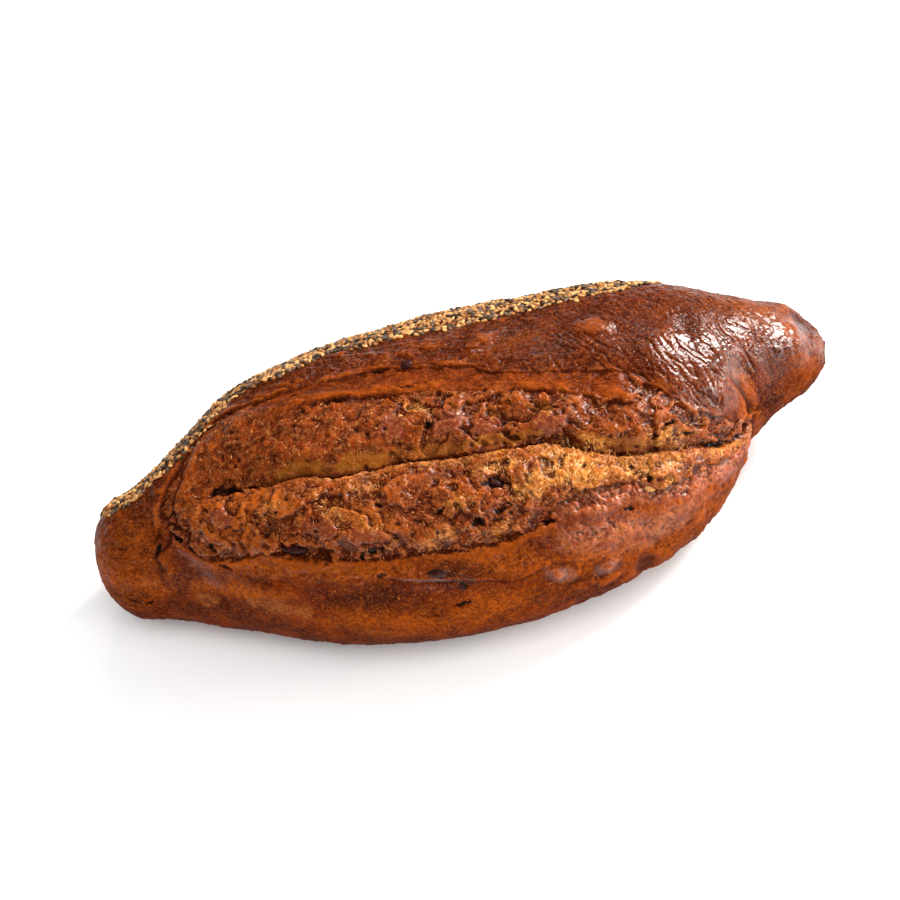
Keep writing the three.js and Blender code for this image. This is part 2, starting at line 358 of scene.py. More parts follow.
# Swellings, or dents where the height is below 0: x, angle, length, width, turn, height.
BUMPS = [
    (-17.9, 104, 16, 10, -30, 1.2), (0, 112, 18, 11, -26, 1.3), (35, 121, 20, 11, -10, 1.2),
    (-23, 150, 18, 9, -14, 1), (5, 152, 14, 8, -31, 0.8), (23.6, 172.7, 8, 4, 30, 1.2),
    (43, 178, 6, 3, 15, 0.9), (-109, 146, 24, 12, 47, 1.2), (46, 156, 30, 9, 1, 0.9),
    (40, 141, 26, 15, 30, 1), (83, 148, 18, 8, 25, 1.1), (97, 178, 16, 7, 45, 1), (99, 184, 7, 5, 0, 0.8),
    (-50, 145, 26, 12, 30, 0.9), (-75, 128, 26, 12, 10, 1), (20, 67, 22, 10, -20, 1.3),
    (-5, 62, 30, 12, 10, 1), (62, 78, 26, 14, 20, 1), (90, 95, 24, 14, 40, 1), (-60, 108, 26, 10, 0, 0.9),
    (-29, 101, 14, 10, -40, 1), (-133, 120, 18, 10, -35, 0.8), (151, 114, 11, 9, 35, 1.0),
    (137, 122, 30, 26, 0, 1.6), (147, 80, 17, 26, 15, -2.2), (58, 190, 13, 26, 0, -3.2),
    (43, 183, 18, 9, -12, 1.3), (32.8, 181.6, 20, 8, 10, 0.8), (56, 130, 22, 7, 25, 1),
    (-85, 165, 30, 12, 3, 0.8),
]
# Patches of colour and gloss: x, angle, length, width, turn, and how strong it is where that isn't 1.
GOLDEN_CRUMB = [
    (40, 141, 28, 17, 40, 1), (66, 149, 40, 11, 15, 0.65), (78, 142, 26, 9, 11, 0.6),
    (-17.6, 150.6, 19, 9, -14, 0.45), (-7, 140.6, 12, 6, 0, 0.5), (5.7, 152.6, 12, 6, -31, 0.5),
    (-54.5, 133.6, 16, 9, 52, 0.45), (22.6, 141, 17, 11, -3, 0.7), (11, 131.8, 22, 6, 6, 0.6),
    (-76, 129, 18, 6, -13, 0.4), (72, 158.4, 10, 5, -10, 1), (50, 134, 14, 7, 40, 0.8),
    (-40, 128, 22, 6, 4, 0.4), (-12.5, 97.5, 12, 5, 35, 0.9), (-41, 141, 22, 9, 40, 0.35),
]
OLIVE_CRUMB = [
    (-62.5, 114, 26, 7, 3), (-37, 116.5, 30, 8, 0), (-10, 119, 29, 6, 6), (17, 121.5, 28, 5, 8),
    (63.5, 139, 24, 6, 25), (16.4, 110, 12, 5, 40), (34.5, 114, 13, 5, 35),
]
PLATES = [
    (-113.5, 142, 24, 11, 47), (-108, 160, 10, 5, 40), (-24, 105, 13, 12, -40), (-2, 109, 17, 12, -26),
    (11, 115, 15, 8, -19), (36, 121, 19, 12, -10), (46, 156.5, 34, 9, 1), (-45, 145, 16, 7, 0),
    (-97, 128, 12, 7, 30), (-60, 140, 14, 8, 20), (97, 176, 22, 6, 45),
]
ORANGE = [
    (-85, 155, 30, 9, 12), (-50, 158, 48, 7, 5), (9, 164, 36, 11, 14), (41, 173, 34, 12, 10),
    (-135, 118, 20, 11, -35), (-96, 132, 28, 16, 32), (-79, 127, 30, 11, 29), (-41, 141, 25, 12, 39),
    (129, 83, 44, 16, 25), (-100, 165, 34, 8, 8), (140, 165, 16, 22, 10, 0.4), (113, 150, 8, 22, 0),
    (28, 74, 30, 8, -10, 0.6), (-143, 130, 30, 44, 0, 0.9), (-20, 178, 110, 18, 0, 0.85),
    (75, 174, 80, 30, 15, 0.9), (-90, 75, 40, 14, -30, 0.4),
]
FLOURED = [
    (-112, 177, 13, 10, 4, 0.6), (-84, 173, 32, 10, 3, 0.8), (-124, 163, 20, 6, -9, 0.4),
    (-52, 183, 36, 6, 6, 0.4),
]
# Wrinkled red flakes of skin below the split: x, angle, length, width, turn, how strong.
FLAKES = [
    (50, 152.5, 38, 10, 3, 1), (79, 163, 36, 8, 23, 1), (43.5, 163.4, 34, 9, 10, 0.8),
    (99, 172, 28, 9, 28, 1), (60, 170, 50, 14, 12, 0.5), (4.3, 146.4, 20, 8, -4, 0.8),
    (17, 152, 18, 5, -6, 0.6),
]
GLOSSY = [
    (106, 120, 46, 26, -10, 1), (93, 100, 34, 18, -10, 0.7), (138, 118, 32, 20, 5, 1),
    (100, 140, 30, 14, -10, 0.8), (20, 70, 26, 8, -17, 0.7), (60, 84, 40, 16, 10, 0.4),
    (24, 172.7, 12, 6, 40, 1), (43, 178, 10, 6, 15, 0.9), (-30, 60, 50, 10, 8, 0.3),
    (-21, 163, 22, 8, 10, 0.7), (4, 146, 18, 8, -4, 0.9), (-70, 150, 12, 6, 10, 0.6),
]
DARKENED = [
    (-46, 167, 36, 12, -2), (23, 180, 34, 12, 10), (-141, 171, 13, 9, 30), (103, 183, 20, 6, 45),
    (82, 75, 40, 14, -15), (126, 158, 20, 9, -2), (-28, 174, 24, 12, 20), (71, 174, 28, 9, 1),
    (127, 172, 24, 12, 6), (-40, 58, 60, 10, 2), (60, 60, 50, 16, 6),
]


def most(skin, rows, seed, ragged=0.4):
    """A soft mask over several patches."""
    masks = []
    for k, (*oval, strength) in enumerate(row if len(row) == 6 else (*row, 1) for row in rows):
        masks.append(strength * soft_step(-0.6, 0.8, skin.patch(*oval, ragged, seed + k)))
    return np.max(masks, 0)


def mark_regions(skin):
    """Works out where the crust split and tore, before the relief is raised."""
    upper = skin.off_line(UPPER_LIP, 0.8, 1)
    lower = skin.off_line(LOWER_LIP, 0.9, 2)
    fold = skin.off_line(FOLD, 0.4, 3)
    within = soft_step(-130, -122, skin.x) * soft_step(117, 112, skin.x)
    within *= (skin.angle > 50) & (skin.angle < 215)
    masks = skin.masks
    masks["upper"], masks["lower"], masks["fold"] = upper, lower, fold
    masks["opened"] = soft_step(-0.4, 0.8, upper) * soft_step(0.6, -0.6, lower) * within
    band = skin.off_line(BAND_EDGE, 0.9, 4)
    has_band = soft_step(-78, -66, skin.x) * soft_step(74, 62, skin.x)
    masks["band"] = masks["opened"] * soft_step(0.8, -0.8, band) * has_band
    masks["band_edge"] = band
    masks["torn"] = np.clip(masks["opened"] - masks["band"], 0, 1)
    masks["crack"] = skin.off_line(CRACK, 0.9, 5)


def open_split(skin):
    """Raises the lips, drops the torn crumb behind them and opens the crack between the two lobes. Heights
    and widths are in mm."""
    m, x = skin.masks, skin.x
    upper, lower, crack, band = m["upper"], m["lower"], m["crack"], m["band_edge"]
    on_upper = soft_step(-132, -122, x) * soft_step(114, 106, x)
    height = 0.55 + 0.6 * lumps(skin.place, 15, 10, 2)
    behind = -1.1 * np.exp(-np.maximum(upper, 0) / 4)
    skin.relief += on_upper * height * np.where(upper < 0, 0.9 * bell(upper, 5), behind)
    has_band = soft_step(-76, -66, x) * soft_step(74, 64, x)
    overhang = 0.5 + 0.5 * lumps(skin.place, 22, 11)
    skin.relief -= has_band * overhang * np.where(band > 0, 1.1 * np.exp(-np.maximum(band, 0) / 2.5), 0)
    skin.relief += has_band * 0.5 * bell(band + 2.5, 3)
    on_crack = soft_step(-108, -96, x) * soft_step(116, 108, x)
    gap = 0.35 + 0.65 * soft_step(-0.2, 0.5, lumps(skin.place, 16, 12, 2))
    skin.relief -= on_crack * np.where(crack < 0, 1.6 * np.exp(np.minimum(crack, 0) / 8), 0)
    skin.relief -= on_crack * gap * 1.9 * bell(crack, 0.9)
    edge = 0.9 + 0.5 * lumps(skin.place, 2.6, 13, 2)
    skin.relief += on_crack * np.where(crack > 0.5, edge * np.exp(-np.maximum(crack - 0.5, 0) / 5), 0)
    on_lower = soft_step(-122, -112, x) * soft_step(108, 98, x)
    curled = soft_step(32, 22, x)
    skin.relief += on_lower * curled * np.where(lower > 0, 0.9 * bell(lower, 5), -1.0 * np.exp(lower / 5))
    flat = np.where(lower < 0, 0.8 * bell(lower, 4), -0.6 * bell(lower, 2.5))
    skin.relief += on_lower * (1 - curled) * flat
    crease = skin.off_line(LOW_CREASE, 0.4, 6)
    skin.relief += 0.35 * bell(crease + 1.2, 1.2) - 0.5 * bell(crease, 0.8)
    fold = m["fold"]
    tuck = soft_step(126, 142, skin.angle) * soft_step(215, 195, skin.angle) * soft_step(95, 105, x)
    skin.relief += tuck * (0.8 * bell(fold + 3, 3) + 0.5 * bell(fold - 4.0, 4) - 1.3 * bell(fold, 1.0))
    knob = skin.off_line(KNOB_CREASE, 1.2, 8)
    skin.relief += 0.7 * bell(knob + 3, 3) - 1.1 * bell(knob, 1.1)
    parted = soft_step(-0.3, 0.5, lumps(skin.place, 8, 15, 2))
    broken = soft_step(0.0, 0.6, lumps(skin.place, 7, 14, 2))
    # Painted shade: how dark the crack, the knob's crease, the fold, the low crease and the lines under the
    # upper lip and the band's overhang are painted.
    slits = [
        on_crack * gap * bell(crack, 0.8), 0.85 * parted * bell(knob, 0.7), 0.5 * tuck * bell(fold, 0.5),
        0.4 * bell(crease, 0.5), 0.85 * on_upper * bell(upper - 0.5, 0.45) * broken,
        0.75 * has_band * overhang * bell(band - 0.5, 0.5) * broken,
    ]
    m["slit"] = np.max(slits, 0)


def tear_crumb(skin):
    """The torn crumb: broad lumps and flaps, smooth plates of skin, and short fibres in whorls. It is
    calmest at the upper left, where it tore least."""
    torn = skin.masks["torn"]
    p = skin.place
    skin.masks["calm"] = soft_step(2, -2, skin.masks["crack"]) * soft_step(0, -45, skin.x)
    soft = (1 - 0.7 * most(skin, OLIVE_CRUMB, 230)) * (1 - 0.6 * skin.masks["calm"])
    shapes = [soft_step(-0.05, 0.25, skin.patch(*row, 0.6, 260 + k)) for k, row in enumerate(PLATES)]
    plates = np.max(shapes, 0)
    soft *= 1 - 0.65 * plates
    rough = 1.6 * lumps(p, 14, 20, 2) + 0.55 * np.abs(lumps(p, 6, 21, 2)) + 0.22 * lumps(p, 2.2, 26, 2)
    skin.relief += torn * soft * rough
    deeper = 1 + 0.6 * soft_step(-45, -10, skin.x) * soft_step(-1, -4, skin.masks["crack"])
    for size, height, seed in ((19, 1.5, 22), (9, 0.6, 24)):  # torn flaps, each with one sharp edge
        flap = 1.1 * lumps(p, size, seed, 3)
        flap -= np.floor(flap)
        skin.relief += height * deeper * torn * soft * (flap * soft_step(1, 0.93, flap) - 0.45)
    skin.relief += 0.9 * torn * np.sum(shapes, 0)
    fibre, weight = 0.0, 0.0
    for k, turn in enumerate((15, 62, 105, 150)):
        share = soft_step(-0.35, 0.55, lumps(p, 9, 30 + k))
        fibre = fibre + share * skin.strokes(turn, 4.5, 1.2, 40 + k)
        weight = weight + share
    fibre = fibre / np.maximum(weight, 0.35)
    skin.masks["fibre"] = np.clip(fibre, 0, 1)
    skin.relief += 0.32 * torn * soft * (fibre - 0.45)
    chunky = most(skin, GOLDEN_CRUMB, 200) * torn
    skin.relief += chunky * (0.5 * np.abs(lumps(p, 3.2, 28, 2)) + 0.3 * lumps(p, 1.6, 29))
    away, who = cells(p, 3.6, 50)
    pit = soft_step(0.6, 0.25, away) * (who > 0.8)
    skin.relief -= 0.5 * torn * pit
    skin.masks["pit"] = torn * pit


def wrinkle_crust(skin):
    """The whole crust: a slow swell, long wrinkles on the shoulder by the nub, curled flakes below the
    right of the split, coarse lumps at the lower right, and fine blisters and pits."""
    p, smooth = skin.place, 1 - skin.masks["torn"]
    skin.relief += 1.0 * lumps(p, 34, 80, 2)
    lobe = soft_step(10, 60, skin.x) * soft_step(40, 75, skin.angle) * soft_step(0.5, -1, skin.masks["upper"])
    lobe *= 0.35 + 0.65 * soft_step(132, 118, skin.x)
    lines = np.maximum(skin.strokes(58, 24, 3.0, 82, 0.9), 0.45 * skin.strokes(20, 12, 3.4, 83, 0.7))
    finer = np.maximum(skin.strokes(74, 16, 2.0, 87, 0.6), 0.4 * skin.strokes(40, 10, 2.4, 88, 0.5))
    skin.relief -= lobe * (0.42 * soft_step(0.45, 1, lines) + 0.24 * soft_step(0.5, 1, finer) - 0.15)
    bare = smooth * (1 - 0.8 * lobe)
    skin.relief += 0.3 * bare * lumps(p, 6, 81, 2)
    flaky = most(skin, FLAKES, 90)
    flake = 1.6 * lumps(p, 7, 91, 2) + 0.4 * finer
    flake -= np.floor(flake)
    scales = 1.3 * flake * soft_step(1, 0.85, flake) + 0.6 * np.abs(lumps(p, 4.5, 92, 2))
    skin.relief += flaky * (scales - 0.4)
    curls = np.maximum(skin.strokes(70, 9, 3, 95, 1.0), skin.strokes(20, 8, 3, 96, 1.0))
    skin.relief -= 0.9 * flaky * soft_step(0.3, 1, curls)
    skin.masks["flaky"] = flaky * (1 - 0.7 * skin.masks["torn"])
    away, who = cells(p, 3.2, 84)
    skin.relief += 0.22 * bare * soft_step(0.55, 0.2, away) * (who > 0.7)
    away, who = cells(p, 2.4, 85)
    skin.relief -= 0.15 * bare * soft_step(0.5, 0.2, away) * (who > 0.8)
    crown = soft_step(0.5, 0.95, skin.out[..., 2])
    side = soft_step(155, 170, skin.angle) * soft_step(-20, 20, skin.x)
    skin.relief += side * (0.9 * np.abs(lumps(p, 11, 97, 2)) + 0.35 * lumps(p, 4, 98, 2))
    skin.relief += bare * (0.16 * lumps(p, 1.7, 86) + (0.4 + 0.6 * crown) * np.abs(lumps(p, 9, 87, 3)))
    skin.relief += bare * crown * 0.35 * skin.strokes(20, 14, 4, 93, 1.2) + lobe * 0.8 * lumps(p, 15, 94)


def sink_holes(skin):
    """The hollows, holes and swellings, one by one. Each hole has a low rim and painted shade inside."""
    dark = np.zeros_like(skin.relief)
    for k, (*oval, height) in enumerate(BUMPS):
        skin.relief += height * soft_step(0, 0.9, skin.patch(*oval, 0.15, 100 + k))
    for k, (*oval, depth, hole_shade) in enumerate(HOLES):
        inside = skin.patch(*oval, 0.75, 140 + k)
        skin.relief -= depth * soft_step(-0.1, 0.6, inside)
        skin.relief += 0.25 * bell(inside + 0.25, 0.25)
        dark = np.maximum(dark, hole_shade * soft_step(0.0, 0.6, inside))
    # Painted shade, which the crust's material paints near black: inside the holes, in the slits and, more
    # lightly, in the pits.
    skin.masks["dark"] = np.maximum(dark, np.maximum(skin.masks["slit"], 0.5 * skin.masks["pit"]))


def colour_regions(skin):
    """The masks that the crust's material reads, and those that say where seeds and threads lie."""
    m, x = skin.masks, skin.x
    torn = m["torn"]
    rim = bell(m["crack"] - 1.6, 1.8) * soft_step(-75, -40, x) * (m["crack"] > -0.5)
    rim *= 0.45 + 0.4 * lumps(skin.place, 6, 205, 2)
    m["gold"] = np.clip(np.maximum(most(skin, GOLDEN_CRUMB, 200), rim), 0, 1) * torn
    m["olive"] = most(skin, OLIVE_CRUMB, 230) * torn
    m["plate"] = most(skin, PLATES, 260) * np.maximum(torn, soft_step(-0.5, 2, m["lower"]))
    m["orange"] = np.maximum(most(skin, ORANGE, 290), 0.2 * m["band"])
    m["flour"] = most(skin, FLOURED, 320, 0.5)
    browned = soft_step(0.3, 0.95, skin.out[..., 2]) * (1 - torn) * (1 - m["band"])  # the top bakes darkest
    m["deep"] = np.maximum(most(skin, DARKENED, 350), 0.75 * browned)
    seed_edge = np.interp(x, *zip(*SEED_EDGE))
    m["seeded"] = soft_step(seed_edge + 3, seed_edge - 2, skin.angle) * soft_step(-30, -10, skin.angle)
    # Painted light and shade from the relief: lighter on its fine ridges and broad crests, darker in the
    # hollows between them.
    coarse = blurred(blurred(skin.relief, 3, 4), 3, 4)
    m["fine_relief_shade"] = np.clip(0.5 + 0.9 * (skin.relief - coarse), 0, 1)
    coarse = blurred(blurred(skin.relief, 9, 12), 9, 12)
    m["broad_relief_shade"] = np.clip(0.5 + 0.4 * (skin.relief - coarse), 0, 1)
    low = soft_step(150, 175, skin.angle) * (1 - torn)
    shining = np.maximum(most(skin, GLOSSY, 380), m["flaky"])
    gloss = np.clip(0.12 + 0.2 * browned - 0.12 * low + 0.8 * shining, 0, 1)
    gloss = np.maximum(gloss, (0.4 - 0.25 * m["calm"]) * torn)
    gloss = np.maximum(gloss, (0.4 + 0.5 * torn) * m["plate"])
    m["gloss"] = gloss * (1 - 0.7 * m["flour"]) * (1 - 0.5 * m["olive"])
    fringe = bell(m["crack"] - 1.2, 1.6) * soft_step(-90, -60, x) * (torn > 0.5)
    threads = 0.5 - 0.3 * m["calm"] + 0.8 * m["gold"] - 0.6 * m["plate"] - 0.4 * m["olive"]
    m["strands"] = np.clip(threads * torn + 1.1 * fringe + 0.2 * m["flaky"], 0, 2) * (m["dark"] < 0.4)


# What the crust's mesh carries for its material: masks, and mm along and round the skin to lay fibres out on.
MASKS = (
    "torn", "fibre", "gold", "olive", "plate", "orange", "flour", "deep", "dark", "fine_relief_shade", "broad_relief_shade", "gloss",
    "flaky",
)
PLACES = ("run", "around")
built = {}


def loaf_skin():
    """The finished skin, worked out once."""
    if "skin" not in built:
        skin = Skin(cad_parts[LOAF])
        mark_regions(skin)
        open_split(skin)
        tear_crumb(skin)
        wrinkle_crust(skin)
        sink_holes(skin)
        skin.relief *= bpy.context.scene.loaf.relief
        colour_regions(skin)
        built["skin"] = skin
    return built["skin"]


# ---- Meshes ----


def make_mesh(name, points, faces, uvs):
    """A smooth mesh from points in mm, faces as lists of corners, and the map of each face's corners."""
    mesh = bpy.data.meshes.new(name)
    sizes = np.concatenate([np.full(len(group), group.shape[1]) for group in faces])
    corners = np.concatenate([group.ravel() for group in faces])
    mesh.vertices.add(len(points))
    mesh.vertices.foreach_set("co", (points * MM).astype(np.float32).ravel())
    mesh.loops.add(len(corners))
    mesh.loops.foreach_set("vertex_index", corners.astype(np.int32))
    mesh.polygons.add(len(sizes))
    mesh.polygons.foreach_set("loop_start", (np.cumsum(sizes) - sizes).astype(np.int32))
    mesh.polygons.foreach_set("loop_total", sizes.astype(np.int32))
    mesh.polygons.foreach_set("use_smooth", np.ones(len(sizes), bool))
    layer = mesh.uv_layers.new(name="OFBake")
    layer.data.foreach_set("uv", np.concatenate([group.reshape(-1) for group in uvs]).astype(np.float32))
    mesh.update(calc_edges=True)
    mesh.validate()
    piece = bpy.data.objects.new(name, mesh)
    bpy.context.scene.collection.objects.link(piece)
    return piece


def add_values(piece, name, values):
    """Stores one number for each point of a piece."""
    layer = piece.data.attributes.new(name, "FLOAT", "POINT")
    layer.data.foreach_set("value", values.astype(np.float32).ravel())


def map_squares(count):
    """The corners of count squares that share the map, and how many of them fit side by side."""
    side, each = math.ceil(math.sqrt(count)), np.arange(count)
    return np.stack([each % side, each // side], -1) / side, side


def tube_faces(rings, sides):
    """The faces of a tube whose points run round one ring after another."""
    ring, side = np.meshgrid(np.arange(rings - 1), np.arange(sides), indexing="ij")
    here, after = ring * sides + side, ring * sides + (side + 1) % sides
    return np.stack([here, after, after + sides, here + sides], -1).reshape(-1, 4)


def closed_faces(rings, sides):
    """The faces of a tube closed by a first and a last point: those of the tube and those of its ends."""
    here = np.arange(sides)
    after, last = (here + 1) % sides, rings * sides + 1
    ends = [np.stack([0 * here, 1 + after, 1 + here], -1)]
    ends += [np.stack([0 * here + last, last - sides + here, last - sides + after], -1)]
    return 1 + tube_faces(rings, sides), np.concatenate(ends)


def settle(piece, material):
    """Gives a piece its material, and its place on the frame."""
    piece.data.materials.append(material)
    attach(piece, "root")
    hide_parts(LOAF)


def crust_piece(skin):
    """The whole crust as one closed mesh, with a fan of faces at each end."""
    rings, spokes = skin.relief.shape
    tips = [
        tuple(tip + Vector((way * skin.relief[ring].mean(), 0, 0)))
        for tip, (ring, way) in zip(skin.tips, ENDS)
    ]
    points = np.concatenate([skin.raised().reshape(-1, 3), tips])
    quads = tube_faces(rings, spokes)[:, [0, 3, 2, 1]]
    ring, spoke = np.meshgrid(np.arange(rings - 1), np.arange(spokes), indexing="ij")
    u, v = 0.01 + 0.98 * ring / rings, 0.98 * spoke / spokes + 0.01
    du, dv = 0.98 / rings, 0.98 / spokes
    quad_uv = np.stack([np.stack(c, -1) for c in ((u, v), (u + du, v), (u + du, v + dv), (u, v + dv))], -2)
    each = np.arange(spokes)
    last, nub_tip = (rings - 1) * spokes, len(points) - 1
    knob_fan = np.stack([np.full(spokes, nub_tip - 1), each, (each + 1) % spokes], -1)
    nub_fan = np.stack([np.full(spokes, nub_tip), last + (each + 1) % spokes, last + each], -1)
    ev = 0.98 * each / spokes + 0.01
    knob_uv = np.stack([np.stack([0 * ev, ev], -1), np.stack([0 * ev + 0.01, ev], -1),
                        np.stack([0 * ev + 0.01, ev + dv], -1)], -2)
    nub_uv = np.stack([np.stack([0 * ev + 1, ev], -1), np.stack([0 * ev + 0.99, ev + dv], -1),
                       np.stack([0 * ev + 0.99, ev], -1)], -2)
    piece = make_mesh("bread_crust", points, [quads, knob_fan, nub_fan], [quad_uv, knob_uv, nub_uv])
    for name in MASKS + PLACES:
        values = (skin.masks[name] if name in MASKS else getattr(skin, name)) + 0 * skin.relief
        ends = [values[0].mean(), values[-1].mean()]
        add_values(piece, name, np.concatenate([values.ravel(), ends]))
    return piece


def seed_shape():
    """A sesame seed lying flat: a drop 1 long, about 0.6 wide and 0.36 thick, blunt at one end."""
    points, rings, sides = [(-0.5, 0, 0)], 5, 8
    for ring in range(1, rings + 1):
        along = -math.cos(math.pi * ring / (rings + 1))
        width = math.sqrt(1 - along**2) * (0.31 - 0.11 * along)
        for side in range(sides):
            turn = 2 * math.pi * side / sides
            points.append((along / 2, width * math.cos(turn), 0.6 * width * math.sin(turn)))
    points.append((0.5, 0, 0))
    return np.array(points), *closed_faces(rings, sides)


def seed_places(skin, spacing):
    """Points of the skin, at least spacing mm apart, all over the seeded back."""
    draw = np.random.default_rng(SEED)
    points = skin.raised()
    chance = skin.masks["seeded"]
    picks = np.flatnonzero(chance.ravel() > draw.random(chance.size) * 0.9)
    draw.shuffle(picks)
    flat = points.reshape(-1, 3)
    taken, kept = {}, []
    for pick in picks:
        x, y, z = flat[pick]
        key = (int(x // spacing), int(y // spacing), int(z // spacing))
        near = [
            other
            for dx in (-1, 0, 1)
            for dy in (-1, 0, 1)
            for dz in (-1, 0, 1)
            for other in taken.get((key[0] + dx, key[1] + dy, key[2] + dz), ())
        ]
        if any((x - a) ** 2 + (y - b) ** 2 + (z - c) ** 2 < spacing**2 for a, b, c in near):
            continue
        taken.setdefault(key, []).append((x, y, z))
        kept.append(pick)
    return np.array(kept)


def seed_pieces(skin, length, black_share):
    """Two meshes, of pale and of black seeds, pressed into the crust at every angle."""
    shape, quads, ends = seed_shape()
    draw = np.random.default_rng(SEED + 1)
    picks = seed_places(skin, length * SEED_GAP)
    places, outs = skin.raised().reshape(-1, 3)[picks], skin.out.reshape(-1, 3)[picks]
    black = draw.random(len(picks)) < black_share
    pieces = []
    for name, chosen in (("sesame_pale", ~black), ("sesame_black", black)):
        count = int(chosen.sum())
        size = length * draw.uniform(*SEED_SIZES, (count, 1, 1))
        turn, lean = draw.uniform(0, 2 * math.pi, count), draw.normal(0, SEED_LEAN, (count, 2))
        out = outs[chosen] + 0
        side = np.cross(out, [1.0, 0.2, 0.1])
        side /= np.linalg.norm(side, axis=-1, keepdims=True)
        front = np.cross(out, side)
        along = side * np.cos(turn)[:, None] + front * np.sin(turn)[:, None] + out * lean[:, :1]
        along /= np.linalg.norm(along, axis=-1, keepdims=True)
        across = np.cross(out + lean[:, 1:] * side, along)
        across /= np.linalg.norm(across, axis=-1, keepdims=True)
        up = np.cross(along, across)
        local = shape[None] * size
        points = (
            places[chosen][:, None] + out[:, None] * draw.uniform(*SEED_PROUD, (count, 1, 1))
            + local[..., :1] * along[:, None] + local[..., 1:2] * across[:, None]
            + local[..., 2:] * up[:, None]
        )
        step = len(shape) * np.arange(count)[:, None, None]
        corner, cols = map_squares(count)
        flat = 0.5 + 0.42 * np.stack([shape[:, 0] * 2, shape[:, 1] * 3], -1)
        uv = corner[:, None] + flat[None] / cols
        faces = [(quads + step).reshape(-1, 4), (ends + step).reshape(-1, 3)]
        piece = make_mesh(name, points.reshape(-1, 3), faces, [uv[:, quads], uv[:, ends]])
        add_values(piece, "tone", np.repeat(draw.random(count), len(shape)))
        pieces.append(piece)
    return pieces


STRAND_POINTS = 4
STRAND_STEP = (0.3, 0.7)  # mm between a thread's points
STRAND_HALF = (0.16, 0.34)  # mm, half a thread's width
STRAND_SUNK = 0.12  # mm its two lower edges lie in the crumb


def strand_piece(skin):
    """Threads of torn crumb a few mm long, that curl over the torn parts in whorls."""
    draw = np.random.default_rng(SEED + 3)
    surface = skin.raised()
    chance = skin.masks["strands"] * skin.ring_gap * skin.spoke_gap  # strands per square mm, by the area
    ring, spoke = np.nonzero(draw.random(chance.shape) < chance)
    count = len(ring)
    colour = {name: skin.masks[name][ring, spoke] for name in ("gold", "flaky")}
    heading = 2.6 * lumps(skin.place[ring, spoke], 10, 700, 2) + draw.normal(0.9, 0.5, count)
    bend, step = draw.normal(0, 0.35, count), draw.uniform(*STRAND_STEP, count)
    path, out = [], []
    for _ in range(STRAND_POINTS):
        path.append(skin.read(surface, ring, spoke))
        out.append(skin.read(skin.out, ring, spoke))
        near = np.clip(ring.astype(int), 0, len(chance) - 1), spoke.astype(int) % SPOKES
        ring = ring + np.cos(heading) * step / skin.ring_gap[near]
        spoke = spoke + np.sin(heading) * step / skin.spoke_gap[near]
        heading = heading + bend * step
    path, out = np.stack(path, 1), np.stack(out, 1)
    along = np.gradient(path, axis=1)
    side = np.cross(along, out)
    side /= np.linalg.norm(side, axis=-1, keepdims=True)
    taper = np.sin(np.pi * (np.arange(STRAND_POINTS) + 0.6) / (STRAND_POINTS + 0.2))[None, :, None]
    half = draw.uniform(*STRAND_HALF, (count, 1, 1)) * taper
    lift = draw.uniform(-0.1, 0.06, (count, 1, 1)) * taper
    sunk = path - STRAND_SUNK * out
    points = np.stack([sunk + side * half, path + (half + lift) * out, sunk - side * half], 2)
    quads, last = tube_faces(STRAND_POINTS, 3), 3 * (STRAND_POINTS - 1)
    ends = np.array([(2, 1, 0), (last, last + 1, last + 2)])
    first = 3 * STRAND_POINTS * np.arange(count)[:, None, None]
    corner, cols = map_squares(count)
    spread = np.meshgrid(np.linspace(0.1, 0.9, STRAND_POINTS), [0.1, 0.5, 0.9], indexing="ij")
    uv = corner[:, None] + np.stack(spread, -1).reshape(-1, 2)[None] / cols
    faces = [(quads + first).reshape(-1, 4), (ends + first).reshape(-1, 3)]
    piece = make_mesh("torn_strands", points.reshape(-1, 3), faces, [uv[:, quads], uv[:, ends]])
    colour["tone"] = draw.random(count)
    for name, values in colour.items():
        add_values(piece, name, np.repeat(values, 3 * STRAND_POINTS))
    return piece


# Bits baked into the crust: x, angle, length, width, height, turn, how far it stands out.
FRUIT_BITS = [
    (-12, 69.5, 5.6, 4.4, 3, -18, 0), (-21.5, 161.4, 8, 3.8, 3, 8, 0), (-14, 168, 6, 3.6, 2.6, 50, -0.3),
    (9, 137, 5, 3, 2, 30, 0.2), (-73.5, 148, 11, 4.2, 3.2, 12, 0.7), (-96.5, 110, 7, 3, 2, -25, 0.2),
]
NUT_BITS = [(-19.5, 98.5, 4.8, 2.8, 2.2, 60, -0.5), (66.5, 157.3, 6, 3.4, 3, 10, -0.3)]


